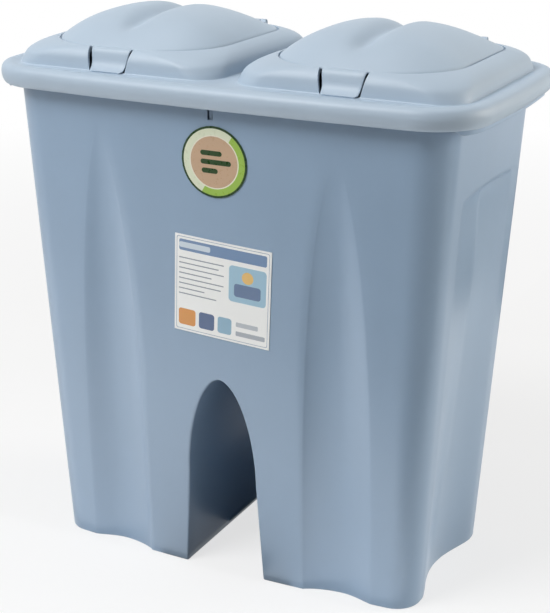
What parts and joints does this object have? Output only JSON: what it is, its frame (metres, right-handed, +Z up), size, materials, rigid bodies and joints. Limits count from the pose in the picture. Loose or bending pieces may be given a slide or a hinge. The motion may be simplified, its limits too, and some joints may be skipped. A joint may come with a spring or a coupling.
{
  "type": "double recycling bin",
  "caption": "Two-compartment plastic bin on two legs with an arched tunnel between them, a one-piece lift-off cover and a hinged domed flap with a finger tab over each compartment.",
  "frame": {"origin": "on the floor under the middle of the bin", "axes": "+Z up, -Y towards the front with the sticker and the label, +X towards the bin's right end as seen from the front"},
  "size_m": [0.5472, 0.3112, 0.5917],
  "materials": {
    "tub_plastic": "satin moulded plastic, blue-grey",
    "cover_plastic": "satin moulded plastic, light blue-grey",
    "sticker_paper": "printed plastic film",
    "label_paper": "printed coated paper"
  },
  "bodies": {
    "tub": {"tub": "tub_plastic", "divider_panel": "tub_plastic", "round_sticker": "sticker_paper", "front_label": "label_paper"},
    "cover": {"cover": "cover_plastic"},
    "left_flap": {"left_flap": "cover_plastic"},
    "right_flap": {"right_flap": "cover_plastic"}
  },
  "joints": [
    {"name": "cover_lift", "type": "slide", "parent": "tub", "child": "cover", "axis": [0, 0, 1], "range_m": [0, 0.12]},
    {"name": "left_flap_hinge", "type": "hinge", "parent": "cover", "child": "left_flap", "pos_m": [-0.129, 0.103, 0.563], "axis": [-1, 0, 0], "range_deg": [0, 100]},
    {"name": "right_flap_hinge", "type": "hinge", "parent": "cover", "child": "right_flap", "pos_m": [0.129, 0.103, 0.563], "axis": [-1, 0, 0], "range_deg": [0, 100]}
  ]
}
